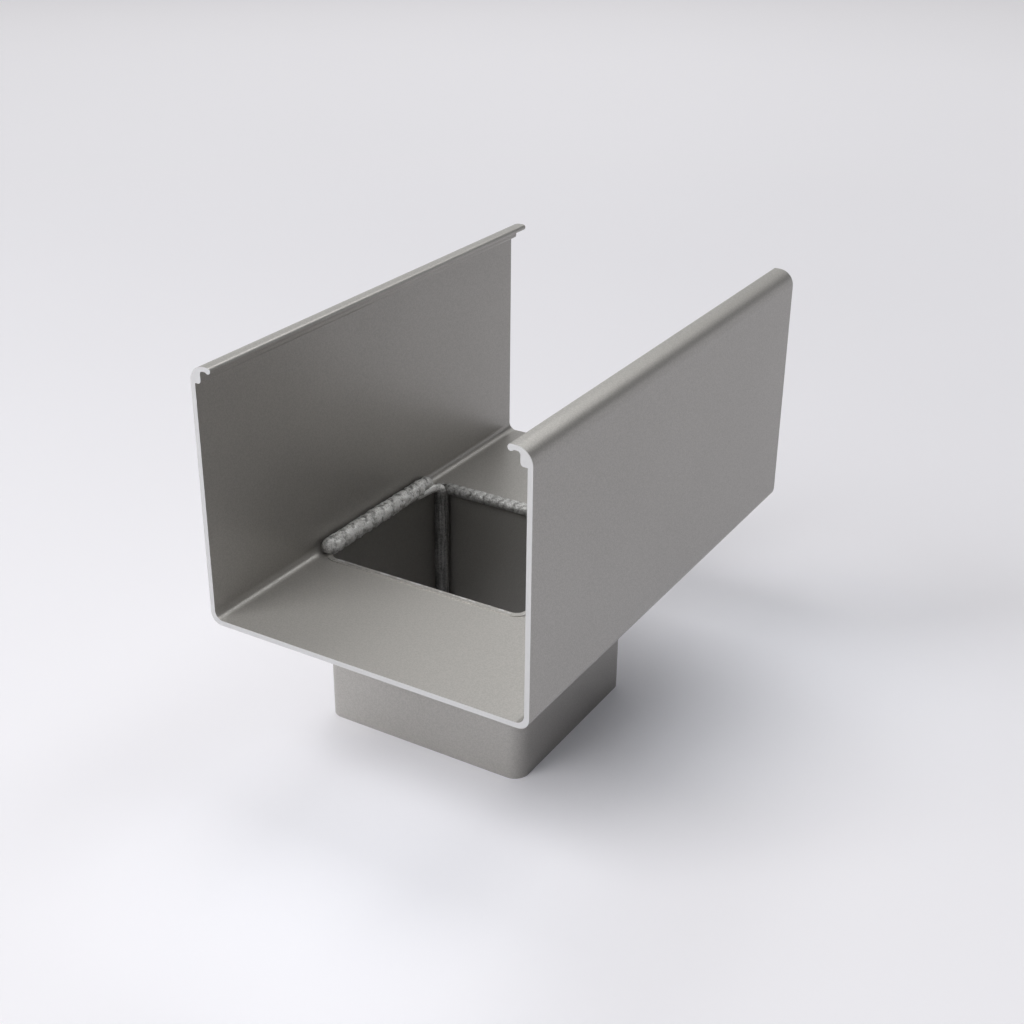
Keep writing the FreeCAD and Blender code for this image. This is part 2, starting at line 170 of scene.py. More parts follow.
class BareSettings(bpy.types.PropertyGroup):
    colour: FloatVectorProperty(
        name="Bare metal", description="Sawn edge without a coat", default=(0.60, 0.60, 0.60), **COLOUR)
    roughness: FloatProperty(
        name="Roughness", description="Satin of the sawn edge", default=0.48, **SHARE)
    metal_share: FloatProperty(
        name="Metal share", description="How much the sawn edge mirrors like metal",
        default=0.55, **SHARE)
    saw_mark: FloatProperty(
        name="Saw mark", description="Width of one saw mark", default=0.25 * MM, **SIZE)
    arris: FloatProperty(
        name="Arris", description="How far the bare metal shows round the edge",
        default=0.06 * MM, **SIZE)
    sheet: FloatProperty(
        name="Spigot sheet", description="Thickness of the spigot's sheet", default=2.0 * MM, **SIZE)
    burr_width: FloatProperty(
        name="Burr width", description="Width of the bright burr on the rim's inner edge",
        default=1.15 * MM, **SIZE)
    burr_length: FloatProperty(
        name="Burr length", description="Length of the burr's broken pieces", default=4.0 * MM, **SIZE)
    joint_width: FloatProperty(
        name="Joint width", description="Width of the line where the rim meets the floor",
        default=0.27 * MM, **SIZE)
    joint_length: FloatProperty(
        name="Joint dashes", description="Length of the light and dark dashes on that line",
        default=1.4 * MM, **SIZE)
    # The next three paint shade inside the spigot: its bore is darker, and darker still near its left
    # face.
    bore_shade: FloatProperty(
        name="Bore share", description="Lightness of the coat inside the spigot", default=0.74, **SHARE)
    left_bore_shade: FloatProperty(
        name="Left bore shade", description="Lightness inside the spigot beside the heavy run",
        default=0.58, **SHARE)
    left_shade_reach: FloatProperty(
        name="Left bore shade reach", description="How far that darker part reaches from the left face",
        default=8.0 * MM, **SIZE)


class WeldSettings(bpy.types.PropertyGroup):
    wall: FloatProperty(
        name="Gutter wall", description="Thickness of the gutter's side walls",
        default=1.7 * MM, **SIZE)
    floor: FloatProperty(
        name="Gutter floor", description="Thickness of the gutter's floor", default=1.8 * MM, **SIZE)
    side_radius: FloatProperty(
        name="Side run", description="Radius of the heavy run beside the wall",
        default=3.2 * MM, **SIZE)
    side_taper: FloatProperty(
        name="Side run taper", description="Share of its radius that it loses towards the back",
        default=0.06, **SHARE)
    side_lift: FloatProperty(
        name="Side run lift", description="Its axis above the floor", default=2.0 * MM, **SIZE)
    side_start: FloatProperty(
        name="Side run start", description="Its round end behind the spigot's front face",
        default=2.6 * MM, **SIZE)
    side_end: FloatProperty(
        name="Side run end", description="Where it starts to fade, before the spigot's back face",
        default=11.6 * MM, **SIZE)
    side_fade: FloatProperty(
        name="Side run fade", description="Length over which it fades", default=6.2 * MM, **SIZE)
    side_pitch: FloatProperty(
        name="Side run ripple", description="Ripple to ripple", default=5.8 * MM, **SIZE)
    edge_radius: FloatProperty(
        name="Edge run", description="Radius of the lighter run", default=2.2 * MM, **SIZE)
    edge_inset: FloatProperty(
        name="Edge run inset", description="Its axis inside the spigot's outer face",
        default=2.4 * MM, **SIZE)
    edge_sink: FloatProperty(
        name="Edge run sink", description="Its axis below the top of the floor",
        default=1.3 * MM, **SIZE)
    edge_start: FloatProperty(
        name="Edge run start", description="Its round start from the spigot's left face",
        default=4.0 * MM, **SIZE)
    edge_stop: FloatProperty(
        name="Edge run stop", description="Its end behind the spigot's front corner",
        default=5.0 * MM, **SIZE)
    edge_pitch: FloatProperty(
        name="Edge run ripple", description="Ripple to ripple", default=3.3 * MM, **SIZE)
    corner: FloatProperty(
        name="Spigot corner", description="Outside radius of the spigot's corners",
        default=5.5 * MM, **SIZE)
    tail_radius: FloatProperty(
        name="Tail", description="Radius of the smooth tail that leaves the heavy run",
        default=1.5 * MM, **SIZE)
    tail_bend: FloatProperty(
        name="Tail bend", description="Radius of its bend at the back left corner",
        default=3.2 * MM, **SIZE)
    tail_left: FloatProperty(
        name="Tail inset", description="Its axis inside the spigot's left face before the bend",
        default=2.0 * MM, **SIZE)
    tail_back: FloatProperty(
        name="Tail from the back", description="Its axis inside the spigot's back face",
        default=6.6 * MM, **SIZE)
    tail_lead: FloatProperty(
        name="Tail lead", description="Part before the bend, under the heavy run",
        default=9.0 * MM, **SIZE)
    tail_shift: FloatProperty(
        name="Tail shift", description="How far that part starts towards the gutter's wall",
        default=1.2 * MM, **SIZE)
    tail_end: FloatProperty(
        name="Tail end", description="Its round end from the spigot's left face",
        default=6.2 * MM, **SIZE)
    tail_lift: FloatProperty(
        name="Tail lift", description="Its axis above the top of the floor", default=0.3 * MM, **SIZE)
    seam_radius: FloatProperty(
        name="Seam run", description="Radius of the run up the inside corner",
        default=2.95 * MM, **SIZE)
    seam_inset: FloatProperty(
        name="Seam run inset", description="Its axis from the spigot's left face",
        default=3.2 * MM, **SIZE)
    seam_back: FloatProperty(
        name="Seam run from the back", description="Its axis from the spigot's back face",
        default=4.8 * MM, **SIZE)
    streak: FloatProperty(
        name="Streaks", description="Width of the upright streaks on the seam run",
        default=1.0 * MM, **SIZE)
    seam_foot: FloatProperty(
        name="Seam run foot", description="Its foot above the cut end", default=4.0 * MM, **SIZE)
    seam_pitch: FloatProperty(
        name="Seam run ripple", description="Ripple to ripple", default=2.2 * MM, **SIZE)
    ring_step: FloatProperty(
        name="Ring step", description="Distance between the rings of the mesh",
        default=0.3 * MM, **SIZE)
    ring_points: IntProperty(
        name="Ring points", description="Points in one ring of the mesh", min=8, default=48)
    ripple_height: FloatProperty(
        name="Ripple height", description="Height of a ripple as a share of the run's radius",
        default=0.12, **SHARE)
    ripple_bow: FloatProperty(
        name="Ripple bow", description="How far a ripple lags at the sides, in ripples",
        min=0.0, max=2.0, default=0.55)
    ripple_drift: FloatProperty(
        name="Ripple drift", description="How far a lump shifts the ripples, in ripples",
        min=0.0, max=5.0, default=1.6)
    lump_size: FloatProperty(
        name="Lump size", description="Width of the uneven lumps", default=3.2 * MM, **SIZE)
    lump_height: FloatProperty(
        name="Lump height", description="Height of the lumps as a share of the run's radius",
        default=0.13, **SHARE)
    drop_size: FloatProperty(
        name="Drop size", description="Width of the small drops", default=1.4 * MM, **SIZE)
    drop_height: FloatProperty(
        name="Drop height", description="Height of the drops as a share of the run's radius",
        default=0.33, **SHARE)
    seed: IntProperty(name="Seed", description="Seed of the lumps", min=0, default=7)
    bright: FloatVectorProperty(
        name="Bright metal", description="Crests of the weld metal",
        default=(0.97, 0.97, 0.95), **COLOUR)
    # The dark end of the weld metal; a painted contact shadow beside the gutter's faces darkens it
    # further.
    dark: FloatVectorProperty(
        name="Dark metal", description="Valleys and shaded edges of the weld metal",
        default=(0.25, 0.246, 0.235), **COLOUR)
    roughness: FloatProperty(
        name="Roughness", description="Satin of the weld metal", default=0.36, **SHARE)
    metal_share: FloatProperty(
        name="Metal share", description="How much the weld mirrors like metal", default=0.15, **SHARE)
    speck: FloatProperty(
        name="Speck", description="Width of the fine specks between the ripples",
        default=0.9 * MM, **SIZE)
    speck_depth: FloatProperty(
        name="Speck depth", description="Height of those specks", default=0.22 * MM, **SIZE)
    patch: FloatProperty(
        name="Patches", description="Width of the paler patches", default=9.0 * MM, **SIZE)
    # Painted light: the runs' side away from the wall is paler.
    painted_side_light: FloatProperty(
        name="Painted side light", description="How much paler the side away from the wall is",
        default=0.40, **SHARE)
    # Painted shade: the runs' underside is darker.
    underside_shade: FloatProperty(
        name="Painted underside shade", description="Share of the paleness left on the underside",
        default=0.42, **SHARE)
    side_darkening: FloatProperty(
        name="Side run darkening", description="How much tone the heavy run loses at its back end",
        default=0.40, **SHARE)
    edge_life: FloatProperty(
        name="Edge run relief", description="Share of the relief on the lighter run",
        default=0.65, **SHARE)
    # Painted contact shadow: the weld darkens beside the gutter's wall and floor.
    contact_shade_width: FloatProperty(
        name="Painted contact shadow", description="Width of the dark line beside the gutter's faces",
        default=0.9 * MM, **SIZE)
    # Painted highlight: the smooth curl is lighter than the runs.
    curl_highlight: FloatProperty(
        name="Curl highlight", description="Lightness of the smooth curl at the back left corner",
        min=0.0, max=2.0, default=1.30)
    edge_start_tone: FloatProperty(
        name="Edge run start tone", description="Lightness of the lighter run right after the curl",
        min=0.0, max=2.0, default=0.54)
    edge_start_length: FloatProperty(
        name="Edge run start length", description="Length over which that run grows pale again",
        default=20.0 * MM, **SIZE)
    edge_tone: FloatProperty(
        name="Edge run tone", description="Lightness of the lighter run",
        min=0.0, max=2.0, default=0.70)
    # Painted shade: the run up the inside corner is darkened, as it lies in the dark bore.
    seam_shade: FloatProperty(
        name="Seam run tone", description="Lightness of the run up the inside corner",
        min=0.0, max=2.0, default=0.28)
    calm: FloatProperty(
        name="Calm share", description="Share of the relief left on the curl and the seam run",
        default=0.22, **SHARE)


class StageSettings(bpy.types.PropertyGroup):
    camera_place: FloatVectorProperty(
        name="Camera", description="Place of the camera", default=(0.2453, -0.4166, 0.3183), **PLACE)
    camera_yaw: FloatProperty(
        name="Camera yaw", description="Turn of the view from +Y towards -X",
        subtype="ANGLE", default=math.radians(30.65))
    camera_pitch: FloatProperty(
        name="Camera pitch", description="Angle of the view below the horizon",
        subtype="ANGLE", default=math.radians(26.25))
    camera_roll: FloatProperty(
        name="Camera roll", description="Turn of the camera about its own axis",
        subtype="ANGLE", default=math.radians(0.58))
    focal_pixels: FloatProperty(
        name="Focal length", description="Focal length in pixels of the square picture",
        min=1.0, default=1535.9)
    floor_size: FloatProperty(name="Floor", description="Side of the floor", unit="LENGTH", default=9.0)
    floor_colour: FloatVectorProperty(
        name="Floor colour", description="Pale floor", default=(0.875, 0.866, 0.905), **COLOUR)
    glow_colour: FloatVectorProperty(
        name="Glow colour", description="Paleness that the floor shows on top of its light",
        default=(0.99, 0.975, 1.0), **COLOUR)
    glow_right: FloatProperty(
        name="Glow to the right", description="Rise of the glow from left to right", default=0.14)
    right_start: FloatProperty(
        name="Right start", description="Where that rise starts", unit="LENGTH", default=-0.2)
    right_end: FloatProperty(
        name="Right end", description="Where that rise ends", unit="LENGTH", default=0.9)
    glow_out: FloatProperty(
        name="Glow outwards", description="Rise of the glow away from the part", default=0.44)
    out_start: FloatProperty(
        name="Out start", description="Distance where that rise starts", unit="LENGTH", default=0.2)
    out_end: FloatProperty(
        name="Out end", description="Distance where that rise ends", unit="LENGTH", default=2.2)
    fill_colour: FloatVectorProperty(
        name="Fill colour", description="Cool tint of the glows that thin the shadow",
        default=(0.87, 0.91, 1.0), **COLOUR)
    front_fill: FloatProperty(
        name="Front fill", description="Glow that thins the shadow in front of the part",
        min=0.0, default=0.22)
    front_spot: FloatVectorProperty(
        name="Front fill place", description="Middle of that glow on the floor",
        default=(0.01, -0.105, 0.0), **PLACE)
    front_reach: FloatProperty(
        name="Front fill reach", description="Radius of that glow", unit="LENGTH", default=0.12)
    side_fill: FloatProperty(
        name="Side fill", description="Glow that thins the shadow on the right of the part",
        min=0.0, default=0.19)
    side_spot: FloatVectorProperty(
        name="Side fill place", description="Middle of that glow on the floor",
        default=(0.075, 0.08, 0.0), **PLACE)
    side_reach: FloatProperty(
        name="Side fill reach", description="Radius of that glow", unit="LENGTH", default=0.13)
    near_fill: FloatProperty(
        name="Near fill", description="Glow that thins the shadow beside the spigot",
        min=0.0, default=0.10)
    near_spot: FloatVectorProperty(
        name="Near fill place", description="Middle of that glow on the floor",
        default=(0.076, -0.010, 0.0), **PLACE)
    near_reach: FloatProperty(
        name="Near fill reach", description="Radius of that glow", unit="LENGTH", default=0.072)
    sky_colour: FloatVectorProperty(
        name="Surround", description="Pale surround behind the floor",
        default=(0.82, 0.82, 0.85), **COLOUR)
    sky_light: FloatProperty(
        name="Surround light", description="Share of the surround that lights the part",
        default=0.10, **SHARE)
    sky_dark: FloatProperty(
        name="Dark ceiling", description="Share of the surround's lightness left high up",
        default=0.05, **SHARE)
    sky_edge: FloatProperty(
        name="Ceiling edge", description="Sine of the angle above the horizon where it is dark",
        default=0.28, **SHARE)
    near_size: FloatProperty(
        name="Front lamp size", description="Side of the two lamps in front",
        unit="LENGTH", default=0.9)
    far_size: FloatProperty(
        name="Back lamp size", description="Side of the two lamps behind", unit="LENGTH", default=1.5)
    low_power: FloatProperty(
        name="Low front lamp", description="Power of the low lamp in front", unit="POWER", default=6.2)
    low_place: FloatVectorProperty(
        name="Low front lamp place", description="Place of the low lamp in front",
        default=(-0.7, -1.2, 0.7), **PLACE)
    high_power: FloatProperty(
        name="High front lamp", description="Power of the high lamp in front",
        unit="POWER", default=17.6)
    high_place: FloatVectorProperty(
        name="High front lamp place", description="Place of the high lamp in front",
        default=(-0.4, -1.0, 1.3), **PLACE)
    back_power: FloatProperty(
        name="Back lamp", description="Power of the lamp above and behind", unit="POWER", default=14.6)
    back_place: FloatVectorProperty(
        name="Back lamp place", description="Place of the lamp above and behind",
        default=(0.0, 0.8, 1.6), **PLACE)
    side_power: FloatProperty(
        name="Side lamp", description="Power of the lamp behind on the left", unit="POWER", default=3.4)
    side_place: FloatVectorProperty(
        name="Side lamp place", description="Place of the lamp behind on the left",
        default=(-1.0, 0.9, 1.2), **PLACE)


class NodeRow:
    """Adds nodes to a tree from left to right and joins their sockets."""

    def __init__(self, tree):
        self.tree = tree

    def add(self, kind, inputs=None, **settings):
        node = self.tree.nodes.new(kind)
        node.location = (NODE_STEP * len(self.tree.nodes), 0)
        for name, value in settings.items():
            setattr(node, name, value)
        for name, value in (inputs or {}).items():
            self.feed(node.inputs[name], value)
        return node

    def feed(self, socket, value):
        if isinstance(value, bpy.types.NodeSocket):
            self.tree.links.new(value, socket)
        else:
            socket.default_value = value

    def math(self, operation, first, second=0.0, third=0.0):
        node = self.add("ShaderNodeMath", {0: first, 1: second, 2: third}, operation=operation)
        return node.outputs["Value"]

    def ramp(self, value, low, high, smooth=True):
        """0 at low, 1 at high, and a smooth or straight rise between them."""
        kind = "SMOOTHSTEP" if smooth else "LINEAR"
        node = self.add("ShaderNodeMapRange", {"Value": value, "From Min": low, "From Max": high},
                        interpolation_type=kind)
        return node.outputs["Result"]

    def between(self, factor, low, high):
        """A number between low and high."""
        node = self.add("ShaderNodeMix", {0: factor, 2: low, 3: high}, data_type="FLOAT")
        return node.outputs[0]

    def blend(self, factor, first, second, kind="MIX"):
        """A colour between two colours, or their sum."""
        node = self.add("ShaderNodeMix", {0: factor, 6: first, 7: second}, data_type="RGBA",
                        blend_type=kind)
        return node.outputs[2]

    def noise(self, vector, scale, detail=2.0, roughness=0.55, seed=None):
        """A noise between 0 and 1. Its lumps are about 1 / scale wide."""
        inputs = {"Vector": vector, "Scale": scale, "Detail": detail, "Roughness": roughness}
        settings = {}
        if seed is not None:
            inputs["W"] = seed
            settings["noise_dimensions"] = "4D"
        return self.add("ShaderNodeTexNoise", inputs, **settings).outputs["Fac"]


def shade(colour, share=1.0):
    return tuple(min(1.0, channel * share) for channel in colour[:3]) + (1.0,)


def grain_group():
    """The fine grain that every finish of this part shares: bumps, flecks and slow tone."""
    group = bpy.data.node_groups.get("metal_grain")
    if group:
        return group
    group = bpy.data.node_groups.new("metal_grain", "ShaderNodeTree")
    face = group.interface
    face.new_socket(name="Vector", in_out="INPUT", socket_type="NodeSocketVector")
    face.new_socket(name="Grain", in_out="INPUT", socket_type="NodeSocketFloat")
    for name in ("Height", "Fleck", "Tone"):
        face.new_socket(name=name, in_out="OUTPUT", socket_type="NodeSocketFloat")
    row = NodeRow(group)
    source = row.add("NodeGroupInput").outputs
    scale = row.math("DIVIDE", 1.0, source["Grain"])
    bumps = row.noise(source["Vector"], scale, roughness=GRAIN_ROUGHNESS)
    fleck_scale = row.math("MULTIPLY", scale, FLECKS_PER_GRAIN)
    flecks = row.noise(source["Vector"], fleck_scale, detail=1.0, roughness=FLECK_ROUGHNESS)
    tone = row.noise(source["Vector"], 1.0 / TONE_WIDTH, detail=1.0)
    row.add("NodeGroupOutput", {"Height": bumps, "Fleck": row.ramp(flecks, *FLECK_LIMITS),
                                "Tone": tone})
    return group


def new_material(name):
    """An empty material with its shader, its node row and the object's own coordinates."""
    material = bpy.data.materials.new(name)
    material.use_nodes = True
    row = NodeRow(material.node_tree)
    shader = material.node_tree.nodes["Principled BSDF"]
    place = row.add("ShaderNodeTexCoord").outputs["Object"]
    return material, row, shader, place


def add_grain(row, place, width):
    node = row.add("ShaderNodeGroup", node_tree=grain_group())
    row.feed(node.inputs["Vector"], place)
    row.feed(node.inputs["Grain"], width)
    return node.outputs


def coated_metal(name, finish):
    """Coated aluminium: finish gives its bare parts, its worn lightness and its saw marks."""
    coat, bare = bpy.context.scene.outlet_coat, bpy.context.scene.outlet_bare
    material, row, shader, place = new_material(name)
    grain = add_grain(row, place, coat.grain)
    mask, share, saw_stretch = finish(row, place, bare)
    stretched = row.add("ShaderNodeMapping", {"Vector": place, "Scale": saw_stretch})
    saw = row.noise(stretched.outputs["Vector"], 1.0 / bare.saw_mark)

    fleck = row.between(TONE_SHARE, grain["Fleck"], grain["Tone"])
    coat_colour = row.blend(fleck, shade(coat.colour, 1.0 - coat.contrast / 2),
                            shade(coat.colour, 1.0 + coat.contrast / 2))
    if share is not None:
        coat_colour = row.blend(share, shade(coat.colour, 0.0), coat_colour)
    bare_colour = row.blend(saw, *[shade(bare.colour, share) for share in SAW_SHADES])
    row.feed(shader.inputs["Base Color"], row.blend(mask, coat_colour, bare_colour))

    coat_rough = row.between(grain["Fleck"], coat.roughness + COAT_SATIN_SPREAD,
                             coat.roughness - COAT_SATIN_SPREAD)
    bare_rough = row.between(saw, bare.roughness - BARE_SATIN_SPREAD,
                             bare.roughness + BARE_SATIN_SPREAD)
    row.feed(shader.inputs["Roughness"], row.between(mask, coat_rough, bare_rough))
    row.feed(shader.inputs["Metallic"], row.between(mask, coat.metal_share, bare.metal_share))

    height = row.between(mask, grain["Height"], saw)
    bump = row.add("ShaderNodeBump", {"Height": height, "Distance": coat.grain_depth,
                                      "Strength": GRAIN_STRENGTH})
    row.feed(shader.inputs["Normal"], bump.outputs["Normal"])
    return material


def gutter_finish(row, place, bare):
    """Bare on the gutter's two sawn ends."""
    along = row.add("ShaderNodeSeparateXYZ", {"Vector": place}).outputs["Y"]
    distance = row.math("ABSOLUTE", along)
    end = gutter_high.y
    mask = row.ramp(distance, end - bare.arris, end - bare.arris / ARRIS_FADE)
    return mask, None, SAW_STRETCH


def depth_in_spigot(row, axes):
    """Distance inwards from the nearest outer face of the spigot."""
    depths = []
    for axis in "XY":
        low, high = getattr(spigot_low, axis.lower()), getattr(spigot_high, axis.lower())
        off = row.math("ABSOLUTE", row.math("SUBTRACT", axes[axis], (low + high) / 2))
        depths.append(row.math("SUBTRACT", (high - low) / 2, off))
    return row.math("MINIMUM", *depths)


def spigot_finish(row, place, bare):
    """Bare cut end, a broken bright burr on the rim that is partly a painted highlight, dashes where
    it meets the floor, and painted shade in the bore.
    """
    axes = row.add("ShaderNodeSeparateXYZ", {"Vector": place}).outputs
    depth = depth_in_spigot(row, axes)
    below = row.math("SUBTRACT", axes["Z"], spigot_low.z)
    cut = row.ramp(below, bare.arris, bare.arris / ARRIS_FADE)
    above = row.math("SUBTRACT", spigot_high.z, axes["Z"])
    rim = row.ramp(above, bare.arris * RIM_HEIGHT, bare.arris)
    inner = row.ramp(depth, bare.sheet - bare.burr_width, bare.sheet - bare.burr_width / 2)
    # A ramp from left to right: the burr grows on the right as a painted highlight, the joint line
    # fades.
    toward_right = row.ramp(axes["X"], spigot_low.x, spigot_high.x)
    broken = row.noise(place, 1.0 / bare.burr_length)
    broken = row.ramp(row.math("MULTIPLY_ADD", toward_right, BURR_RIGHT, broken), *BURR_LIMITS)
    burr = row.math("MULTIPLY", row.math("MULTIPLY", rim, inner), broken)
    mask = row.math("MAXIMUM", cut, burr)

    off = row.math("ABSOLUTE", row.math("SUBTRACT", depth, bare.sheet * JOINT_DEPTH))
    joint = row.math("MULTIPLY", rim, row.ramp(off, bare.joint_width, bare.joint_width / 2))
    joint = row.math("MULTIPLY", joint, row.between(toward_right, 1.0, JOINT_RIGHT))
    dashes = row.ramp(row.noise(place, 1.0 / bare.joint_length, detail=1.0), *DASH_LIMITS)
    share = row.between(joint, 1.0, row.between(dashes, *DASH_SHADES))

    # Painted shade: the coat inside the bore is darker, and darker still beside the left face.
    inside = row.ramp(depth, *[bare.sheet * share_in for share_in in BORE_DEPTHS])
    inside = row.math("MULTIPLY", inside, row.math("SUBTRACT", 1.0, rim))
    away = row.math("SUBTRACT", axes["X"], spigot_low.x + bare.sheet)
    bore = row.between(row.ramp(away, bare.left_shade_reach / LEFT_SHADE_FADE, bare.left_shade_reach),
                       bare.left_bore_shade, bare.bore_shade)
    share = row.between(inside, share, bore)
    return mask, share, NO_STRETCH


def weld_metal():
    """Bare weld metal: pale on its lumps and dark between them. Painted light on the side away
    from the wall, painted shade underneath, painted highlights and shade from each run's tone,
    and a painted contact shadow beside the gutter's faces.
    """
    weld = bpy.context.scene.outlet_weld
    material, row, shader, place = new_material("weld_metal")
    grain = add_grain(row, place, weld.speck)
    relief, tone, facing, upward = [
        row.add("ShaderNodeAttribute", attribute_name=name).outputs["Fac"]
        for name in ("relief", "tone", "facing", "upward")]

    pale = row.noise(place, 1.0 / weld.patch, detail=1.0)
    pale = row.between(row.ramp(pale, *PATCH_LIMITS), PATCH_DARK, 1.0)
    pale = row.math("MULTIPLY", row.ramp(relief, *CREST_LIMITS), pale)
    # Painted light: paler on the side that faces away from the wall.
    pale = row.math("MULTIPLY_ADD", facing, weld.painted_side_light, pale)
    pale = row.math("MULTIPLY", pale, row.between(grain["Fleck"], *SPECK_SHADES))
    # Painted shade on the underside.
    lit = row.between(row.ramp(upward, *UNDERSIDE_LIMITS), weld.underside_shade, 1.0)
    # A tone above 1 is a painted highlight, as on the curl and the seam's top.
    pale = row.math("MULTIPLY", row.math("MULTIPLY", pale, lit), row.math("MAXIMUM", tone, 1.0))
    metal = row.blend(pale, shade(weld.dark), shade(weld.bright))

    axes = row.add("ShaderNodeSeparateXYZ", {"Vector": place}).outputs
    # Painted contact shadow: darker beside the gutter's wall and floor.
    wall_gap = row.math("SUBTRACT", axes["X"], gutter_low.x + weld.wall)
    floor_gap = row.math("SUBTRACT", axes["Z"], gutter_low.z + weld.floor)
    inside = row.math("MAXIMUM", depth_in_spigot(row, axes), 0.0)
    gap = row.math("MINIMUM", wall_gap, row.math("ADD", row.math("ABSOLUTE", floor_gap), inside))
    contact_lightness = row.between(row.ramp(gap, weld.contact_shade_width / CONTACT_SHADE_FADE, weld.contact_shade_width), CONTACT_SHADE_LIGHTNESS, 1.0)

    stretched = row.add("ShaderNodeMapping", {"Vector": place, "Scale": STREAK_STRETCH})
    streak = row.noise(stretched.outputs["Vector"], 1.0 / weld.streak, detail=1.0)
    streak = row.between(row.ramp(streak, *STREAK_LIMITS), *STREAK_SHADES)
    streak = row.between(row.ramp(floor_gap, *STREAK_DEPTHS), 1.0, streak)
    # A tone under 1 darkens a run; on the seam run it is painted shade in the bore.
    share = row.math("MULTIPLY", row.math("MINIMUM", tone, 1.0), contact_lightness)
    share = row.math("MULTIPLY", share, streak)
    row.feed(shader.inputs["Base Color"], row.blend(share, shade(weld.dark, 0.0), metal))
    shader.inputs["Roughness"].default_value = weld.roughness
    shader.inputs["Metallic"].default_value = weld.metal_share
    bump = row.add("ShaderNodeBump", {"Height": grain["Height"], "Distance": weld.speck_depth,
                                      "Strength": SPECK_STRENGTH})
    row.feed(shader.inputs["Normal"], bump.outputs["Normal"])
    return material


def straight(start, end, step):
    """Points from start to end, end left out."""
    count = max(1, round((end - start).length / step))
    return [start.lerp(end, index / count) for index in range(count)]


def quarter(centre, radius, start_angle, end_angle, step):
    """Points along an arc, its last point left out."""
    count = max(2, round(abs(end_angle - start_angle) * radius / step))
    points = []
    for index in range(count):
        angle = start_angle + (end_angle - start_angle) * index / count
        points.append(centre + radius * Vector((math.cos(angle), math.sin(angle), 0.0)))
    return points


def side_run(weld):
    """The heavy run: against the wall, and lower as it fades at the back."""
    radius = weld.side_radius
    wall_face = gutter_low.x + weld.wall
    floor_face = gutter_low.z + weld.floor
    front = spigot_low.y + weld.side_start
    fade_start = spigot_high.y - weld.side_end
    back = fade_start + weld.side_fade
    count = round((back - front) / weld.ring_step)
    darkening_length = DARKENING_FADES * weld.side_fade
    points, radii, tones = [], [], []
    for index in range(count + 1):
        along = (back - front) * index / count
        near_end = 1.0 - min(1.0, (back - front - along) / darkening_length)
        tones.append(1.0 - weld.side_darkening * near_end)
        share = slimmed = 1.0 - weld.side_taper * index / count
        if along < radius:
            share = math.sqrt(max(0.0, 1.0 - (1.0 - along / radius) ** 2))
        fading = (front + along - fade_start) / weld.side_fade
        if fading > 0:
            share = slimmed * math.sqrt(max(0.0, 1.0 - fading ** 2))
        radii.append(radius * max(share, LEAST_RADIUS))
        hug = radius if along < radius else radii[-1]
        lift = weld.side_lift * hug / radius
        points.append(Vector((wall_face + hug, front + along, floor_face + lift)))
    return {"point": points, "bead_radius": radii, "tone": tones}


def capped_radii(points, radius):
    """Radii along a run with a round end at each side."""
    steps = [0.0]
    for near, far in zip(points, points[1:]):
        steps.append(steps[-1] + (far - near).length)
    total = steps[-1]
    radii = []
    for along in steps:
        inside = min(along, total - along, radius) / radius
        radii.append(radius * max(LEAST_RADIUS, math.sqrt(1.0 - (1.0 - inside) ** 2)))
    return radii


def edge_run(weld):
    """The lighter run: along the back edge and down the far side of the spigot."""
    step, bend = weld.ring_step, weld.corner - weld.edge_inset
    height = gutter_low.z + weld.floor - weld.edge_sink
    left, right = spigot_low.x + weld.edge_start, spigot_high.x - weld.edge_inset
    back = spigot_high.y - weld.edge_inset
    front = spigot_low.y + weld.corner + weld.edge_stop
    points = straight(Vector((left, back, height)), Vector((right - bend, back, height)), step)
    centre = Vector((right - bend, back - bend, height))
    points += quarter(centre, bend, math.pi / 2, 0.0, step)
    points += straight(Vector((right, back - bend, height)), Vector((right, front, height)), step)
    points.append(Vector((right, front, height)))
    tones = []
    for point in points:
        past = min(1.0, (point.x - left) / weld.edge_start_length)
        tones.append(weld.edge_start_tone + (weld.edge_tone - weld.edge_start_tone) * past)
    return {"point": points, "bead_radius": capped_radii(points, weld.edge_radius),
            "tone": tones, "life": [weld.edge_life] * len(points)}


def tail_run(weld):
    """The smooth tail: it leaves the heavy run and turns the back left corner."""
    step, bend = weld.ring_step, weld.tail_bend
    height = gutter_low.z + weld.floor + weld.tail_lift
    left, back = spigot_low.x + weld.tail_left, spigot_high.y - weld.tail_back
    end = Vector((spigot_low.x + weld.tail_end, back, height))
    turn = Vector((left, back - bend, height))
    points = straight(turn - Vector((weld.tail_shift, weld.tail_lead, 0.0)), turn, step)
    points += quarter(turn + Vector((bend, 0.0, 0.0)), bend, math.pi, math.pi / 2, step)
    points += straight(Vector((left + bend, back, height)), end, step)
    points.append(end)
    # Painted highlight: the curl's tone lifts it above the other runs.
    count = len(points)
    return {"point": points, "bead_radius": capped_radii(points, weld.tail_radius),
            "tone": [weld.curl_highlight] * count, "life": [weld.calm] * count}


def seam_run(weld):
    """The thin run up the inside corner where the folded sheet closes."""
    x, y = spigot_low.x + weld.seam_inset, spigot_high.y - weld.seam_back
    foot, top = spigot_low.z + weld.seam_foot, gutter_low.z + weld.floor
    points = straight(Vector((x, y, foot)), Vector((x, y, top)), weld.ring_step)
    points.append(Vector((x, y, top)))
    # Painted shade on the run in the dark bore, and a painted highlight on its top end.
    tones = [weld.edge_tone if top - point.z < weld.seam_radius / 2 else weld.seam_shade
             for point in points]
    return {"point": points, "bead_radius": capped_radii(points, weld.seam_radius),
            "tone": tones, "life": [weld.calm] * len(points)}


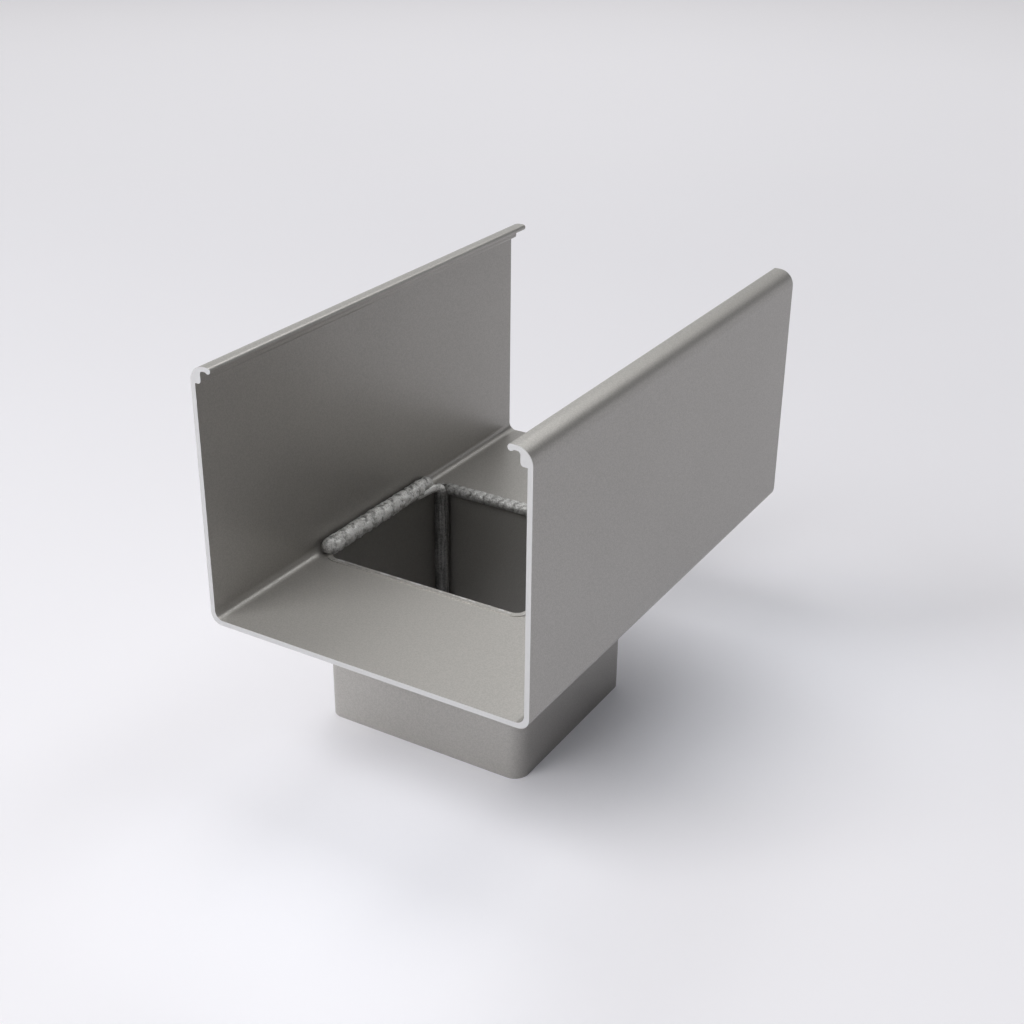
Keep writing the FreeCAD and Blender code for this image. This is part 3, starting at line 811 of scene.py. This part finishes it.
def weld_paths(weld):
    """One mesh with the axis of each run and the run's values at each point."""
    mesh = bpy.data.meshes.new("weld_paths")
    points, edges = [], []
    values = {"bead_radius": [], "ripple_pitch": [], "tone": [], "life": []}
    runs = ((side_run, weld.side_pitch), (edge_run, weld.edge_pitch),
            (tail_run, weld.edge_pitch), (seam_run, weld.seam_pitch))
    for run, pitch in runs:
        first = len(points)
        made = run(weld)
        count = len(made["point"])
        made["ripple_pitch"] = [pitch] * count
        points += made["point"]
        for name, layer in values.items():
            layer += made.get(name, [1.0] * count)
        edges += [(index, index + 1) for index in range(first, len(points) - 1)]
    mesh.from_pydata(points, edges, [])
    for name, layer in values.items():
        mesh.attributes.new(name, "FLOAT", "POINT").data.foreach_set("value", layer)
    return mesh


def weld_tree():
    """Sweeps a round bead along each path and raises its ripples and lumps."""
    tree = bpy.data.node_groups.new("weld_bead_sweep", "GeometryNodeTree")
    face = tree.interface
    face.new_socket(name="Paths", in_out="INPUT", socket_type="NodeSocketGeometry")
    sockets = [(name, "NodeSocketInt") for name in BEAD_COUNTS]
    sockets += [(name, "NodeSocketFloat") for name in BEAD_SIZES]
    sockets += [("Metal", "NodeSocketMaterial")]
    for name, kind in sockets:
        face.new_socket(name=name, in_out="INPUT", socket_type=kind)
    face.new_socket(name="Bead", in_out="OUTPUT", socket_type="NodeSocketGeometry")
    row = NodeRow(tree)
    source = row.add("NodeGroupInput").outputs

    def named(name):
        return row.add("GeometryNodeInputNamedAttribute", {"Name": name}).outputs["Attribute"]

    def store(geometry, name, value):
        node = row.add("GeometryNodeStoreNamedAttribute",
                       {"Geometry": geometry, "Name": name, "Value": value})
        return node.outputs["Geometry"]

    axis = row.add("GeometryNodeMeshToCurve", {"Mesh": source["Paths"]}).outputs["Curve"]
    length = row.add("GeometryNodeSplineParameter").outputs["Length"]
    axis = store(axis, "along", length)
    ring = row.add("GeometryNodeCurvePrimitiveCircle",
                   {"Resolution": source["Ring Points"], "Radius": 1.0}).outputs["Curve"]
    share = row.add("GeometryNodeSplineParameter").outputs["Factor"]
    ring = store(ring, "around", share)
    tube = row.add("GeometryNodeCurveToMesh",
                   {"Curve": axis, "Profile Curve": ring, "Scale": named("bead_radius"),
                    "Fill Caps": True}).outputs["Mesh"]

    place = row.add("GeometryNodeInputPosition").outputs["Position"]
    radius, pitch = named("bead_radius"), named("ripple_pitch")

    def bumps(size, detail):
        scale = row.math("DIVIDE", 1.0, size)
        return row.math("SUBTRACT", row.noise(place, scale, detail, seed=source["Seed"]),
                        NOISE_MIDDLE)

    lump, drop = bumps(source["Lump Size"], LUMP_DETAIL), bumps(source["Drop Size"], 1.0)
    lag = row.math("COSINE", row.math("MULTIPLY", named("around"), 2 * math.pi))
    lag = row.math("MULTIPLY", row.math("ABSOLUTE", lag), source["Ripple Bow"])
    phase = row.math("DIVIDE", named("along"), pitch)
    phase = row.math("MULTIPLY_ADD", lump, source["Ripple Drift"], row.math("ADD", phase, lag))
    wave = row.math("ABSOLUTE", row.math("SINE", row.math("MULTIPLY", phase, math.pi)))
    rise = row.math("MULTIPLY", row.math("SUBTRACT", wave, RIPPLE_MIDDLE), source["Ripple Height"])
    rise = row.math("MULTIPLY_ADD", lump, source["Lump Height"], rise)
    rise = row.math("MULTIPLY_ADD", drop, source["Drop Height"], rise)
    rise = row.math("MULTIPLY", rise, named("life"))
    relief = row.ramp(rise, -RELIEF_REACH, RELIEF_REACH, smooth=False)
    rise = row.math("MULTIPLY", rise, radius)
    normal = row.add("GeometryNodeInputNormal").outputs["Normal"]
    sides = row.add("ShaderNodeSeparateXYZ", {"Vector": normal}).outputs
    tube = store(tube, "facing", sides["X"])
    tube = store(tube, "upward", sides["Z"])
    offset = row.add("ShaderNodeVectorMath", {"Scale": rise, 0: normal}, operation="SCALE")
    tube = store(tube, "relief", relief)
    tube = row.add("GeometryNodeSetPosition",
                   {"Geometry": tube, "Offset": offset.outputs["Vector"]}).outputs["Geometry"]
    tube = row.add("GeometryNodeSetShadeSmooth", {"Geometry": tube}).outputs["Geometry"]
    tube = row.add("GeometryNodeRealizeInstances", {"Geometry": tube}).outputs["Geometry"]
    tube = row.add("GeometryNodeSetMaterial",
                   {"Geometry": tube, "Material": source["Metal"]}).outputs["Geometry"]
    row.add("NodeGroupOutput", {"Bead": tube})
    return tree


def set_inputs(modifier, values):
    """Sets a Geometry Nodes modifier's inputs by their sockets' identifiers."""
    for item in modifier.node_group.interface.items_tree:
        if item.item_type == "SOCKET" and item.in_out == "INPUT" and item.name in values:
            modifier[item.identifier] = values[item.name]


def bake_piece(name, base_mesh, tree, values):
    """A plain mesh object with what the tree makes of base_mesh."""
    carrier = bpy.data.objects.new(name + "_paths", base_mesh)
    bpy.context.scene.collection.objects.link(carrier)
    modifier = carrier.modifiers.new("sweep", "NODES")
    modifier.node_group = tree
    set_inputs(modifier, values)
    graph = bpy.context.evaluated_depsgraph_get()
    mesh = bpy.data.meshes.new_from_object(carrier.evaluated_get(graph))
    carrier.modifiers.remove(modifier)
    bpy.data.objects.remove(carrier)
    mesh.name = name
    piece = bpy.data.objects.new(name, mesh)
    bpy.context.scene.collection.objects.link(piece)
    return piece


def dress(node, material):
    """Puts a material in every slot of a node of the frame."""
    node_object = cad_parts[node]
    if not node_object.material_slots:
        raise RuntimeError(node + " has no material slot")
    for place in node_object.material_slots:
        place.material = material


class OUTLET_OT_finish_gutter(bpy.types.Operator):
    """Coats the gutter and leaves its sawn ends bare"""
    bl_idname = "outlet.finish_gutter"
    bl_label = "Finish gutter"

    def execute(self, context):
        dress("gutter_body", coated_metal("gutter_coat", gutter_finish))
        return {"FINISHED"}


class OUTLET_OT_finish_spigot(bpy.types.Operator):
    """Coats the spigot, with a broken bright burr on its rim that is partly a painted highlight,
    painted shade in its bore and a bare cut end
    """
    bl_idname = "outlet.finish_spigot"
    bl_label = "Finish spigot"

    def execute(self, context):
        dress("outlet_spigot", coated_metal("spigot_coat", spigot_finish))
        return {"FINISHED"}


class OUTLET_OT_lay_weld(bpy.types.Operator):
    """Lays the rippled weld runs round the spigot and up its inside corner"""
    bl_idname = "outlet.lay_weld"
    bl_label = "Lay weld"

    def execute(self, context):
        weld = context.scene.outlet_weld
        metal = weld_metal()
        values = {name: getattr(weld, name.lower().replace(" ", "_"))
                  for name in BEAD_COUNTS + BEAD_SIZES}
        values["Metal"] = metal
        piece = bake_piece("weld_runs", weld_paths(weld), weld_tree(), values)
        if not piece.data.polygons:
            raise RuntimeError("The weld runs have no faces")
        dress("weld_bead", metal)
        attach(piece, BODY)
        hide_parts("weld_bead")
        return {"FINISHED"}


def pale_rays(row):
    """1 for the rays that should see the pale stage itself."""
    rays = row.add("ShaderNodeLightPath").outputs
    mirrored = row.math("MAXIMUM", rays["Is Glossy Ray"], rays["Is Transmission Ray"])
    return row.math("MAXIMUM", rays["Is Camera Ray"], mirrored)


def pale_floor(stage):
    """A large flat floor that keeps the part's shadow; it glows paler to the right and outwards,
    and three glowing spots paint light into that shadow.
    """
    mesh = bpy.data.meshes.new("studio_floor")
    shape = bmesh.new()
    bmesh.ops.create_grid(shape, x_segments=1, y_segments=1, size=stage.floor_size / 2)
    shape.to_mesh(mesh)
    shape.free()
    floor = bpy.data.objects.new("studio_floor", mesh)
    bpy.context.scene.collection.objects.link(floor)
    material, row, shader, place = new_material("pale_floor")
    cloud = row.noise(place, 1.0 / CLOUD_WIDTH, detail=1.0)
    row.feed(shader.inputs["Base Color"],
             row.blend(cloud, *[shade(stage.floor_colour, share) for share in CLOUD_SHADES]))
    right = row.add("ShaderNodeSeparateXYZ", {"Vector": place}).outputs["X"]
    out = row.add("ShaderNodeVectorMath", {0: place}, operation="LENGTH").outputs["Value"]
    sideways = row.ramp(right, stage.right_start, stage.right_end)
    outwards = row.ramp(out, stage.out_start, stage.out_end)
    glow = row.math("MULTIPLY", sideways, stage.glow_right)
    glow = row.math("MULTIPLY_ADD", outwards, stage.glow_out, glow)
    # Painted light: three glowing spots on the floor thin the part's shadow.
    fill = 0.0
    for name in ("front", "side", "near"):
        spot, reach, share = [getattr(stage, name + part) for part in ("_spot", "_reach", "_fill")]
        away = row.add("ShaderNodeVectorMath", {0: place, 1: spot}, operation="DISTANCE")
        near = row.ramp(away.outputs["Value"], reach, 0.0)
        fill = row.math("MULTIPLY_ADD", near, share, fill)
    seen = pale_rays(row)
    wide = row.blend(row.math("MULTIPLY", glow, seen), shade(stage.glow_colour, 0.0),
                     shade(stage.glow_colour))
    local = row.blend(row.math("MULTIPLY", fill, seen), shade(stage.fill_colour, 0.0),
                      shade(stage.fill_colour))
    row.feed(shader.inputs["Emission Color"], row.blend(1.0, wide, local, "ADD"))
    shader.inputs["Emission Strength"].default_value = 1.0
    shader.inputs["Roughness"].default_value = FLOOR_ROUGHNESS
    mesh.materials.append(material)


def pale_surround(stage):
    """A surround that is pale round the horizon and dark above, and lights the part a little."""
    world = bpy.data.worlds.new("pale_surround")
    world.use_nodes = True
    row = NodeRow(world.node_tree)
    sky = world.node_tree.nodes["Background"]
    towards = row.add("ShaderNodeTexCoord").outputs["Generated"]
    upward = row.add("ShaderNodeSeparateXYZ", {"Vector": towards}).outputs["Z"]
    high = row.ramp(upward, stage.sky_edge / CEILING_FADE, stage.sky_edge)
    row.feed(sky.inputs["Color"],
             row.blend(high, shade(stage.sky_colour), shade(stage.sky_colour, stage.sky_dark)))
    row.feed(sky.inputs["Strength"], row.between(pale_rays(row), stage.sky_light, 1.0))
    bpy.context.scene.world = world


def soft_lamp(name, place, aim, side, power):
    lamp = bpy.data.lights.new(name, "AREA")
    lamp.shape = "SQUARE"
    lamp.size = side
    lamp.energy = power
    holder = bpy.data.objects.new(name, lamp)
    holder.location = place
    holder.rotation_euler = (Vector(aim) - Vector(place)).to_track_quat("-Z", "Y").to_euler()
    bpy.context.scene.collection.objects.link(holder)


def studio_camera(stage):
    camera = bpy.data.cameras.new("studio_camera")
    camera.lens = stage.focal_pixels * camera.sensor_width / IMAGE_SIZE
    holder = bpy.data.objects.new("studio_camera", camera)
    turn = Matrix.Rotation(stage.camera_yaw, 4, "Z")
    turn = turn @ Matrix.Rotation(math.pi / 2 - stage.camera_pitch, 4, "X")
    turn = turn @ Matrix.Rotation(stage.camera_roll, 4, "Z")
    holder.matrix_world = Matrix.Translation(stage.camera_place) @ turn
    bpy.context.scene.collection.objects.link(holder)
    bpy.context.scene.camera = holder


class OUTLET_OT_set_stage(bpy.types.Operator):
    """Sets the floor, the surround, the lamps and the camera"""
    bl_idname = "outlet.set_stage"
    bl_label = "Set stage"

    def execute(self, context):
        stage = context.scene.outlet_stage
        middle = (Vector(cad_bounds[0]) + Vector(cad_bounds[1])) / 2
        pale_floor(stage)
        pale_surround(stage)
        lamps = {"low": stage.near_size, "high": stage.near_size,
                 "back": stage.far_size, "side": stage.far_size}
        for name, side in lamps.items():
            place, power = getattr(stage, name + "_place"), getattr(stage, name + "_power")
            soft_lamp(name + "_lamp", place, middle, side, power)
        studio_camera(stage)
        context.scene.view_settings.view_transform = "Standard"
        return {"FINISHED"}


OPERATORS = (OUTLET_OT_finish_gutter, OUTLET_OT_finish_spigot, OUTLET_OT_lay_weld,
             OUTLET_OT_set_stage)


class OUTLET_PT_studio(bpy.types.Panel):
    """Lists the steps and sizes of the outlet studio"""
    bl_idname = "OUTLET_PT_studio"
    bl_label = "Outlet studio"
    bl_space_type = "VIEW_3D"
    bl_region_type = "UI"
    bl_category = "Outlet"

    def draw(self, context):
        for step in OPERATORS:
            self.layout.operator(step.bl_idname)
        for name in SETTINGS:
            box = self.layout.box()
            group = getattr(context.scene, name)
            for key in group.bl_rna.properties.keys():
                if key not in ("rna_type", "name"):
                    box.prop(group, key)


SETTINGS = {"outlet_coat": CoatSettings, "outlet_bare": BareSettings,
            "outlet_weld": WeldSettings, "outlet_stage": StageSettings}
CLASSES = tuple(SETTINGS.values()) + OPERATORS + (OUTLET_PT_studio,)


def register():
    for item in CLASSES:
        bpy.utils.register_class(item)
    for name, group in SETTINGS.items():
        setattr(bpy.types.Scene, name, PointerProperty(type=group))


def unregister():
    for name in SETTINGS:
        delattr(bpy.types.Scene, name)
    for item in reversed(CLASSES):
        bpy.utils.unregister_class(item)


def main():
    register()
    bpy.ops.outlet.finish_gutter()
    bpy.ops.outlet.finish_spigot()
    bpy.ops.outlet.lay_weld()
    bpy.ops.outlet.set_stage()


if __name__ == "__main__":
    main()
